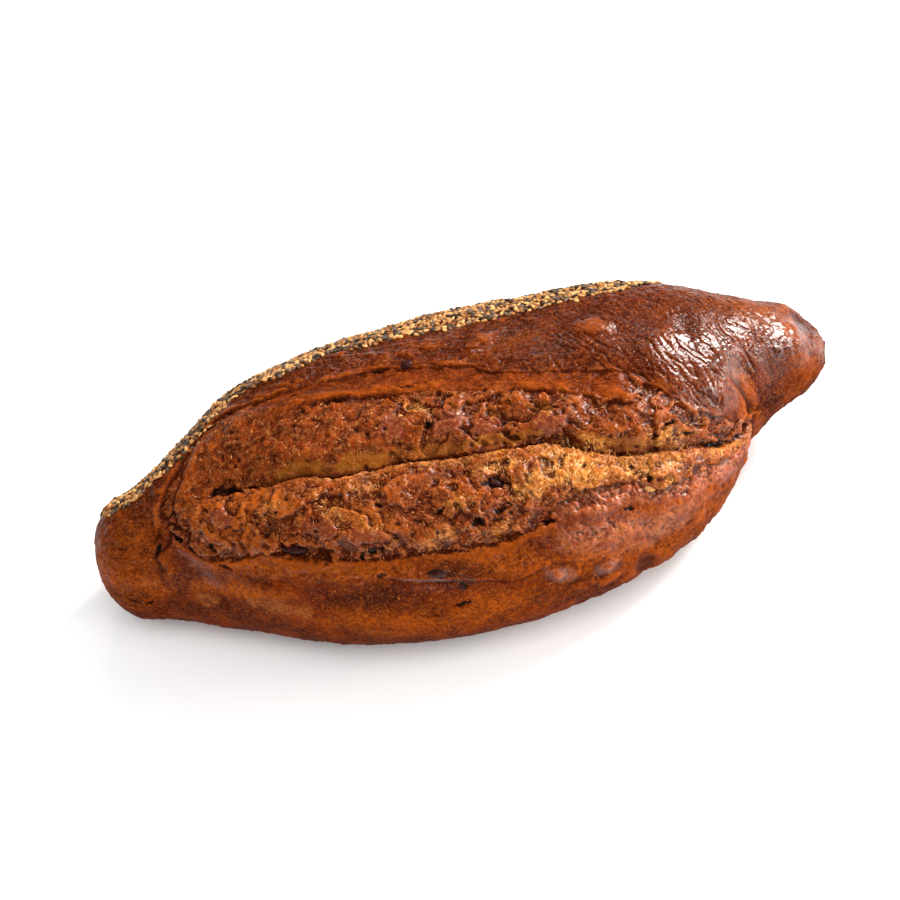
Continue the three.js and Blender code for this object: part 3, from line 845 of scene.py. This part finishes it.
def bit_piece(skin, name, rows, seed):
    """Knobbly ovals sunk part way into the crust, as one mesh."""
    sides, rings = 28, 15
    surface = skin.raised()
    corners, cols = map_squares(len(rows))
    theta = np.pi * (np.arange(1, rings + 1) / (rings + 1))[:, None]
    phi = 2 * np.pi * np.arange(sides)[None] / sides
    ring = np.stack([np.cos(theta) + 0 * phi, np.sin(theta) * np.cos(phi), np.sin(theta) * np.sin(phi)], -1)
    round_ball = np.concatenate([[[1.0, 0, 0]], ring.reshape(-1, 3), [[-1.0, 0, 0]]])
    points, uvs = [], []
    for k, (x, angle, length, width, height, turn, proud) in enumerate(rows):
        gap = np.hypot(skin.x - x, np.radians(skin.angle - angle) * skin.radius)
        at = np.unravel_index(np.argmin(gap), gap.shape)
        out = skin.out[at]
        along = np.cross(np.cross(out, [1.0, 0, 0]), out) * -1
        along /= np.linalg.norm(along)
        along *= np.sign(along[0]) or 1
        down = np.cross(out, along)
        if down[1] > 0:
            down = -down
        cos, sin = math.cos(math.radians(turn)), math.sin(math.radians(turn))
        along, down = along * cos + down * sin, down * cos - along * sin
        ball = round_ball * (1 + 0.13 * lumps(round_ball * 5, 4, seed + 9 * k, 2))[:, None]
        axes = np.stack([along * length / 2, down * width / 2, out * height / 2])
        points.append(surface[at] + out * (proud - 0.15 * height) + ball @ axes)
        uvs.append(corners[k] + (0.5 + 0.42 * ball[:, :2]) / cols)
    uv, step = np.concatenate(uvs), len(round_ball) * np.arange(len(rows))[:, None, None]
    quads, ends = ((faces + step).reshape(-1, faces.shape[1]) for faces in closed_faces(rings, sides))
    return make_mesh(name, np.concatenate(points), [quads, ends], [uv[quads], uv[ends]])


# ---- Materials ----


def add(tree, kind, inputs=None, stops=None, feeds=None, **settings):
    """Adds a node with its settings and links. Each input is a plain value, a hex colour or the output that
    feeds it. The node's own first output goes to the socket in feeds."""
    made = tree.nodes.new(kind)
    for name, value in settings.items():
        setattr(made, name, value)
    if stops:
        elements = made.color_ramp.elements
        while len(elements) < len(stops):
            elements.new(0.5)
        for element, (position, colour) in zip(elements, stops):
            element.position, element.color = position, linear(colour)
    for key, value in (inputs or {}).items():
        if isinstance(value, bpy.types.NodeSocket):
            tree.links.new(value, made.inputs[key])
        else:
            made.inputs[key].default_value = linear(value) if isinstance(value, str) else value
    if feeds is not None:
        tree.links.new(made.outputs[0], feeds)
    return made


def blank(name, values):
    """A new material with a Principled shader that has these plain values."""
    material = bpy.data.materials.new(name)
    material.use_nodes = True
    tree = material.node_tree
    tree.nodes.clear()
    surface = add(tree, "ShaderNodeOutputMaterial").inputs["Surface"]
    return material, tree, add(tree, "ShaderNodeBsdfPrincipled", values, feeds=surface)


def per_metre(size):
    """The scale of a texture whose features are size mm apart."""
    return 1 / (size * MM)


def amount(tree, *terms):
    """How much of something shows: the product of the terms. A term is a number, a value over the surface,
    or such a value with where it eases from and to, and the ends it eases between if they aren't 0 and 1."""
    product = None
    for term in terms:
        if isinstance(term, tuple):
            value, start, stop, least, most_of = (*term, 0.0, 1.0)[:5]
            ease = {0: value, 1: start, 2: stop, 3: least, 4: most_of}
            term = add(tree, "ShaderNodeMapRange", ease, interpolation_type="SMOOTHSTEP").outputs[0]
        if product is not None:
            term = add(tree, "ShaderNodeMath", {0: product, 1: term}, operation="MULTIPLY", use_clamp=True)
            term = term.outputs[0]
        product = term
    return product


def covered(tree, base, *layers):
    """Lays colours over a base, one by one. Each layer is its colour and the terms of its amount."""
    for colour, *terms in layers:
        share = {0: amount(tree, *terms), 6: base, 7: colour}
        base = add(tree, "ShaderNodeMix", share, data_type="RGBA").outputs[2]
    return base


DOUGH_IOR = 1.47
# Starch glaze left by the steam. Its IOR is above the usual 1.53, to keep the highlights of the real crust.
GLAZE = {"Coat IOR": 1.65, "Coat Roughness": 0.2}
# Mottling of the crust: mm between its features, detail, roughness, distortion.
CRUST_PATTERNS = (
    (24, 1.5, 0.5, 0), (12, 1.5, 0.5, 0), (6, 3, 0.6, 0), (5, 3, 0.5, 0), (1.9, 2, 0.5, 0),
    (1.3, 3, 0.6, 0.5), (0.7, 2, 0.5, 0),
)
# Torn fibres, and the crown's faint streaks: turn in degrees, length and spacing in mm, sideways shift.
CRUMB_FIBRES = ((75, 3.2, 0.8, 11), (118, 2.6, 0.75, 23), (20, 2, 0.8, 37))
CROWN_STREAKS = ((-14, 14, 3.2, 51), (24, 9, 2.4, 67))


def baked_crust(crust_colour, crumb_colour):
    """Baked wheat and rye crust, steamed and browned on a hearth. Where the skin stayed whole it has a
    patchy glaze over freckles, with painted glints in tiny dots and specks. Where it burst, the torn crumb is
    duller, with paler tips to its fibres that are brightened on ridges as painted highlight. Painted light
    and shade from the relief lightens ridges and darkens hollows, and painted shade blackens holes, slits and
    pits."""
    material, tree, shader = blank("baked_rye_crust", {
        "Base Color": (1, 1, 1, 1), "IOR": DOUGH_IOR, "Specular IOR Level": 0.04, **GLAZE})
    where = add(tree, "ShaderNodeTexCoord").outputs["Object"]
    mask = {
        name: add(tree, "ShaderNodeAttribute", attribute_name=name).outputs["Fac"] for name in MASKS + PLACES}
    on_skin = add(tree, "ShaderNodeCombineXYZ", {0: mask["run"], 1: mask["around"]}).outputs[0]
    broad, cloudy, patchy, mottle, tufted, grain, glint_specks = (
        add(tree, "ShaderNodeTexNoise", {
            "Vector": where, "Scale": per_metre(size), "Detail": detail, "Roughness": rough,
            "Distortion": bend}).outputs["Fac"]
        for size, detail, rough, bend in CRUST_PATTERNS
    )
    freckle, glint_dots = (
        add(tree, "ShaderNodeTexVoronoi", {
            "Vector": where, "Scale": per_metre(size), "Randomness": 1.0}).outputs
        for size in (1.7, 1.9)
    )

    def fibres(rows):
        """Thin lines laid out on the skin."""
        lines = 0.0
        for turn, length, width, shift in rows:
            laid = add(tree, "ShaderNodeMapping", {
                "Vector": on_skin, "Location": (shift, 0, 0), "Rotation": (0, 0, math.radians(turn)),
                "Scale": (length, width, 1)}, vector_type="TEXTURE").outputs[0]
            wave = add(tree, "ShaderNodeTexNoise", {
                "Vector": laid, "Scale": 1.0, "Detail": 1.5, "Distortion": 0.5}).outputs["Fac"]
            off = add(tree, "ShaderNodeMath", {0: wave, 1: 0.5}, operation="SUBTRACT").outputs[0]
            off = add(tree, "ShaderNodeMath", {0: off}, operation="ABSOLUTE").outputs[0]
            both = {0: lines, 1: amount(tree, (off, 0.07, 0.0))}
            lines = add(tree, "ShaderNodeMath", both, operation="MAXIMUM", use_clamp=True).outputs[0]
        return lines

    def broken(name, ragged=0.5):
        """A mask whose edge is broken up by the mottle, so that no region ends in a clean line."""
        uneven = amount(tree, mask[name], (mottle, 0.25, 0.75, 1 - ragged, 1 + ragged))
        return amount(tree, (uneven, 0.2, 0.8))

    thread = amount(tree, fibres(CRUMB_FIBRES), (tufted, 0.42, 0.6))
    fine_relief_shade, broad_relief_shade, deep, gloss = (mask[name] for name in ("fine_relief_shade", "broad_relief_shade", "deep", "gloss"))
    grainy = covered(tree, CRUST_RED, (AMBER, (grain, 0.32, 0.62, 0.3, 1)))
    scaly = covered(tree, FLAKE_RED, (FLAKE_PALE, (mottle, 0.35, 0.65)))
    olive = covered(tree, CRUMB_SHADE, (OLIVE, (grain, 0.3, 0.7)))
    crumb = covered(tree, CRUMB_SHADE, (crumb_colour, (grain, 0.32, 0.62)))
    whole = covered(
        tree, CRUST_DEEP,
        (crust_colour, (broad, 0.3, 0.6, 0.3, 1)),
        (CRUST_ORANGE, (cloudy, 0.42, 0.7, 0, 0.3)),
        (CRUST_ORANGE, (mottle, 0.5, 0.8, 0, 0.25)),
        (grainy, mask["orange"], (mottle, 0.2, 0.8, 0.5, 1)),
        (PLATE, broken("plate"), 0.75),
        (CRUST_DEEP, deep, 0.5),
        (CRUST_DEEP, fibres(CROWN_STREAKS), deep, 0.55),
        (scaly, mask["flaky"], 0.75),
        (FLOUR, broken("flour"), (grain, 0.3, 0.7, 0.3, 0.8)),
        (CRUST_DEEP, (freckle["Distance"], 0.2, 0.05, 0, 0.25)),
        # Painted light on the fine ridges and painted shade in the fine hollows.
        (CRUST_ORANGE, (fine_relief_shade, 0.5, 0.95, 0, 0.25)),
        (CRUST_DEEP, (fine_relief_shade, 0.45, 0.1, 0, 0.35)),
        # Painted glints: pale dots over the whole crust.
        (PALE_TIP_AND_GLINT, (glint_dots["Distance"], 0.22, 0.06), (glint_dots["Color"], 0.45, 0.8), 0.4),
        (CRUST_ORANGE, thread, 0.3),
        (AMBER, (grain, 0.5, 0.7, 0, 0.3)),
        (CRUST_DEEP, (grain, 0.45, 0.3, 0, 0.3)),
        # Painted glints: pale specks over the whole crust.
        (PALE_TIP_AND_GLINT, (glint_specks, 0.6, 0.72, 0, 0.35)),
    )
    torn = covered(
        tree, TORN_DARK,
        (TORN_BROWN, (mottle, 0.28, 0.68)),
        (AMBER, broken("orange"), 0.8),
        (PLATE, broken("plate"), 0.9),
        (olive, broken("olive"), 0.85),
        (crumb, broken("gold", 0.7), 0.95),
        (TORN_DARK, (grain, 0.5, 0.3, 0, 0.4)),
        # Painted glints: pale specks over the torn crumb.
        (PALE_TIP_AND_GLINT, (glint_specks, 0.56, 0.7, 0, 0.35)),
        # Paler fibre tips, partly their own colour and partly painted highlight on the ridges, then painted
        # shade in the fine hollows.
        (PALE_TIP_AND_GLINT, (mask["fibre"], 0.4, 0.95, 0.25, 0.8), thread, (fine_relief_shade, 0.3, 0.75, 0.3, 1)),
        (TORN_DARK, (fine_relief_shade, 0.45, 0.1, 0, 0.6)),
    )
    base = covered(
        tree, whole,
        (torn, broken("torn", 0.3)),
        # Painted shade in the broad hollows and painted light on the broad crests away from the plates, then
        # painted shade near black in holes, slits and pits.
        (TORN_DARK, (broad_relief_shade, 0.5, 0.2, 0, 0.6)),
        (AMBER, (broad_relief_shade, 0.55, 0.85), (mask["plate"], 0.3, 0.8, 0.35, 0.05)),
        (HOLE_SHADE, (mask["dark"], 0.15, 0.85, 0, 0.95)),
    )
    tree.links.new(base, shader.inputs["Base Color"])

    rough = {0: amount(tree, (gloss, 0, 1, 0.65, 0.45)), 1: amount(tree, (grain, 0.3, 0.7, -0.08, 0.08))}
    add(tree, "ShaderNodeMath", rough, operation="ADD", use_clamp=True, feeds=shader.inputs["Roughness"])
    tree.links.new(amount(tree, gloss, (patchy, 0.36, 0.6, 0.55, 1)), shader.inputs["Coat Weight"])
    height = 0.0
    for pattern, share in ((glint_specks, 0.2), (thread, 0.3), (grain, 0.5)):
        raised = {0: pattern, 1: share, 2: height}
        height = add(tree, "ShaderNodeMath", raised, operation="MULTIPLY_ADD", use_clamp=True).outputs[0]
    calmed = amount(tree, height, (gloss, 0.5, 1, 1, 0.35))
    for strength, socket in ((0.6, "Normal"), (0.22, "Coat Normal")):  # the glaze fills the finest dents
        dents = {"Strength": strength, "Distance": 0.6 * MM, "Height": calmed}
        add(tree, "ShaderNodeBump", dents, feeds=shader.inputs[socket])
    return material


def torn_thread():
    """Gluten threads pulled out as the crust tore: dry, browned on the tips, gold where crumb shows."""
    material, tree, shader = blank("torn_gluten_thread", {
        "Roughness": 0.4, "IOR": DOUGH_IOR, "Specular IOR Level": 0.35})
    tone, gold, flaky = (
        add(tree, "ShaderNodeAttribute", attribute_name=name).outputs["Fac"]
        for name in ("tone", "gold", "flaky"))
    brown, golden, red = (
        add(tree, "ShaderNodeValToRGB", {0: tone}, stops=stops).outputs[0]
        for stops in (THREAD_BROWN, THREAD_GOLD, THREAD_RED))
    tree.links.new(covered(tree, brown, (golden, gold), (red, flaky)), shader.inputs["Base Color"])
    return material


def sesame(name, dark, pale, roughness):
    """Toasted sesame hull: matt and papery, each seed a little darker or paler than the next."""
    material, tree, shader = blank(name, {"Roughness": roughness, "Specular IOR Level": 0.15})
    where = add(tree, "ShaderNodeTexCoord").outputs["Object"]
    blotch, ribs = (
        add(tree, "ShaderNodeTexNoise", {
            "Vector": where, "Scale": per_metre(size), "Detail": detail}).outputs["Fac"]
        for size, detail in ((1.5, 2.0), (0.35, 1.0)))
    tone = add(tree, "ShaderNodeAttribute", attribute_name="tone").outputs["Fac"]
    shade = add(tree, "ShaderNodeMath", {0: tone, 1: blotch}, operation="MULTIPLY").outputs[0]
    add(tree, "ShaderNodeValToRGB", {0: shade}, ((0.02, dark), (0.45, pale)), shader.inputs["Base Color"])
    dents = {"Strength": 0.3, "Distance": 0.15 * MM, "Height": ribs}
    add(tree, "ShaderNodeBump", dents, feeds=shader.inputs["Normal"])
    return material


def baked_bit(name, finish, pattern, stops):
    """A bit baked in the crust, whose colour and puckers follow one pattern."""
    material, tree, shader = blank(name, finish)
    where = add(tree, "ShaderNodeTexCoord").outputs["Object"]
    pucker = add(tree, "ShaderNodeTexNoise", {"Vector": where, **pattern}).outputs["Fac"]
    add(tree, "ShaderNodeValToRGB", {0: pucker}, stops, shader.inputs["Base Color"])
    dents = {"Strength": 0.6, "Distance": 0.4 * MM, "Height": pucker}
    add(tree, "ShaderNodeBump", dents, feeds=shader.inputs["Normal"])
    return material


def dried_fruit_skin():
    """Fruit skin baked almost black: sticky and glossy, with fine puckers."""
    return baked_bit(
        "baked_fruit_skin", {"Roughness": 0.35, "Specular IOR Level": 0.2},
        {"Scale": per_metre(1.4), "Detail": 3.0, "Distortion": 0.6}, ((0.35, FRUIT_SKIN), (0.75, FRUIT_RED)))


def toasted_nut():
    """A broken, toasted nut: dry, pale gold inside with a browned skin left in places."""
    return baked_bit(
        "toasted_nut", {"Roughness": 0.6}, {"Scale": per_metre(2.6), "Detail": 4.0, "Roughness": 0.65},
        ((0.36, NUT_SKIN), (0.52, NUT), (0.75, NUT_PALE)))


# ---- Stage ----

CAMERA_TARGET = Vector((-4.4, 4.9, 42.4)) * MM
CAMERA_DISTANCE = 1.01
CAMERA_ABOVE = math.radians(48)
CAMERA_ROLL = math.radians(-15.2)
CAMERA_LENS, CAMERA_SENSOR = 100.0, 36.0  # mm
WARM, WHITE = (1.0, 0.95, 0.9), (1.0, 1.0, 1.0)
LIT_POINT = Vector((0, 0, 0.04))  # what the lights face
# The softboxes: name, place and width in metres, then power in watts, colour, and whether the gloss mirrors
# it. The last only fills the shade.
KEY_SOFTBOX = ("key_softbox", (1.41, 0.66, 1.13), 0.75)
SOFTBOXES = (
    ("back_strip", (0.25, 1.6, 1.5), 0.35, 4.0, WARM, True),
    ("side_strip", (1.75, -0.35, 0.5), 0.45, 12.0, WARM, True),
    ("front_strip", (1.25, -1.05, 0.8), 0.3, 4.0, WARM, True),
    ("front_softbox", (0.25, -1.4, 2.3), 2.4, 48.0, WHITE, False),
)


def place_camera():
    """The camera, in front of the loaf and above it, rolled a little."""
    back = Vector((0, -math.cos(CAMERA_ABOVE), math.sin(CAMERA_ABOVE)))
    camera = bpy.data.objects.new("camera", bpy.data.cameras.new("camera"))
    bpy.context.scene.collection.objects.link(camera)
    camera.data.lens, camera.data.sensor_width = CAMERA_LENS, CAMERA_SENSOR
    camera.data.clip_start, camera.data.clip_end = 0.05, 20.0
    turn = back.to_track_quat("Z", "Y").to_matrix().to_4x4() @ Matrix.Rotation(CAMERA_ROLL, 4, "Z")
    camera.matrix_world = Matrix.Translation(CAMERA_TARGET + back * CAMERA_DISTANCE) @ turn
    bpy.context.scene.camera = camera


def soft_light(name, place, size, power, colour, mirrored):
    """A square softbox that faces the loaf."""
    light = bpy.data.lights.new(name, "AREA")
    light.size, light.energy, light.color = size, power, colour
    box = bpy.data.objects.new(name, light)
    bpy.context.scene.collection.objects.link(box)
    box.location, box.visible_glossy = place, mirrored
    box.rotation_euler = (Vector(place) - LIT_POINT).to_track_quat("Z", "Y").to_euler()


def painted_floor(colour):
    """Matt white studio paint with the faint orange-peel of a roller."""
    material, tree, shader = blank("white_floor_paint", {
        "Base Color": colour, "Roughness": 0.9, "Specular IOR Level": 0.1})
    where = add(tree, "ShaderNodeTexCoord").outputs["Object"]
    peel = add(tree, "ShaderNodeTexNoise", {"Vector": where, "Scale": per_metre(4), "Detail": 2.0})
    dents = {"Strength": 0.05, "Distance": 0.1 * MM, "Height": peel.outputs["Fac"]}
    add(tree, "ShaderNodeBump", dents, feeds=shader.inputs["Normal"])
    return material


# ---- Add-on ----


class LoafSettings(bpy.types.PropertyGroup):
    relief: bpy.props.FloatProperty(
        name="Relief", description="How strongly the crust is lumped, split and wrinkled", default=1.0, min=0,
        max=1.5)
    crust_colour: bpy.props.FloatVectorProperty(
        name="Crust", description="Colour of the whole, smooth crust", default=linear(CRUST_RED), size=4,
        subtype="COLOR", min=0, max=1)
    crumb_colour: bpy.props.FloatVectorProperty(
        name="Crumb", description="Colour of the torn crumb where it is palest", default=linear(CRUMB_GOLD),
        size=4, subtype="COLOR", min=0, max=1)
    seed_length: bpy.props.FloatProperty(
        name="Seed length", description="Length of a sesame seed", default=0.0028, min=0.002, max=0.005,
        unit="LENGTH")
    black_share: bpy.props.FloatProperty(
        name="Black seeds", description="Share of the seeds that are black", default=0.38, min=0, max=1,
        subtype="FACTOR")


class StageSettings(bpy.types.PropertyGroup):
    floor_colour: bpy.props.FloatVectorProperty(
        name="Floor", description="Colour of the studio floor", default=linear(FLOOR), size=4,
        subtype="COLOR", min=0, max=1)
    key_power: bpy.props.FloatProperty(
        name="Key light", description="Power of the large softbox to the right of the loaf", default=60.0,
        min=0, unit="POWER")
    sky: bpy.props.FloatProperty(
        name="Sky", description="Brightness of the white surroundings", default=0.6, min=0)


class LOAF_OT_crust(bpy.types.Operator):
    """Builds the split, wrinkled crust on the plain solid"""

    bl_idname = "loaf.crust"
    bl_label = "Crust"

    def execute(self, context):
        settings = context.scene.loaf
        piece = crust_piece(loaf_skin())
        settle(piece, baked_crust(tuple(settings.crust_colour), tuple(settings.crumb_colour)))
        settle(strand_piece(loaf_skin()), torn_thread())
        return {"FINISHED"}


class LOAF_OT_seeds(bpy.types.Operator):
    """Scatters pale and black sesame seeds over the back"""

    bl_idname = "loaf.seeds"
    bl_label = "Seeds"

    def execute(self, context):
        settings = context.scene.loaf
        pale, black = seed_pieces(loaf_skin(), settings.seed_length / MM, settings.black_share)
        settle(pale, sesame("toasted_sesame", SEED_TOAST, SEED_GOLD, 0.55))
        settle(black, sesame("black_sesame", SEED_BLACK, SEED_GREY, 0.4))
        return {"FINISHED"}


class LOAF_OT_bits(bpy.types.Operator):
    """Sets the dark fruit and the pale nuts into the crust"""

    bl_idname = "loaf.bits"
    bl_label = "Fruit and nuts"

    def execute(self, context):
        settle(bit_piece(loaf_skin(), "fruit_bits", FRUIT_BITS, 500), dried_fruit_skin())
        settle(bit_piece(loaf_skin(), "nut_bits", NUT_BITS, 600), toasted_nut())
        return {"FINISHED"}


class LOAF_OT_stage(bpy.types.Operator):
    """Sets out the floor, the soft lights and the camera"""

    bl_idname = "loaf.stage"
    bl_label = "Stage"

    def execute(self, context):
        settings = context.scene.loaf_stage
        place_camera()
        bpy.ops.mesh.primitive_plane_add(size=12, location=(0, 0, 0))
        floor = context.active_object
        floor.name = "studio_floor"
        floor.data.materials.append(painted_floor(tuple(settings.floor_colour)))
        soft_light(*KEY_SOFTBOX, settings.key_power, WARM, True)
        for softbox in SOFTBOXES:
            soft_light(*softbox)
        world = bpy.data.worlds.new("studio")
        world.use_nodes = True
        background = world.node_tree.nodes["Background"]
        background.inputs["Color"].default_value = (1, 1, 1, 1)
        background.inputs["Strength"].default_value = settings.sky
        context.scene.world = world
        world.cycles_visibility.glossy = False
        context.scene.view_settings.view_transform = "Standard"
        return {"FINISHED"}


class LOAF_PT_panel(bpy.types.Panel):
    """Lists the loaf's pieces and settings"""

    bl_idname = "LOAF_PT_panel"
    bl_label = "Hearth loaf"
    bl_space_type = "VIEW_3D"
    bl_region_type = "UI"
    bl_category = "Loaf"

    def draw(self, context):
        for settings in (context.scene.loaf, context.scene.loaf_stage):
            for name in settings.bl_rna.properties.keys():
                if name not in ("rna_type", "name"):
                    self.layout.prop(settings, name)
        for operator in OPERATORS:
            self.layout.operator(operator.bl_idname)


OPERATORS = (LOAF_OT_stage, LOAF_OT_crust, LOAF_OT_seeds, LOAF_OT_bits)
CLASSES = (LoafSettings, StageSettings, *OPERATORS, LOAF_PT_panel)


def register():
    for made in CLASSES:
        bpy.utils.register_class(made)
    bpy.types.Scene.loaf = bpy.props.PointerProperty(type=LoafSettings)
    bpy.types.Scene.loaf_stage = bpy.props.PointerProperty(type=StageSettings)


def unregister():
    del bpy.types.Scene.loaf_stage
    del bpy.types.Scene.loaf
    for made in reversed(CLASSES):
        bpy.utils.unregister_class(made)


def main():
    register()
    bpy.ops.loaf.stage()
    bpy.ops.loaf.crust()
    bpy.ops.loaf.seeds()
    bpy.ops.loaf.bits()


if __name__ == "__main__":
    main()
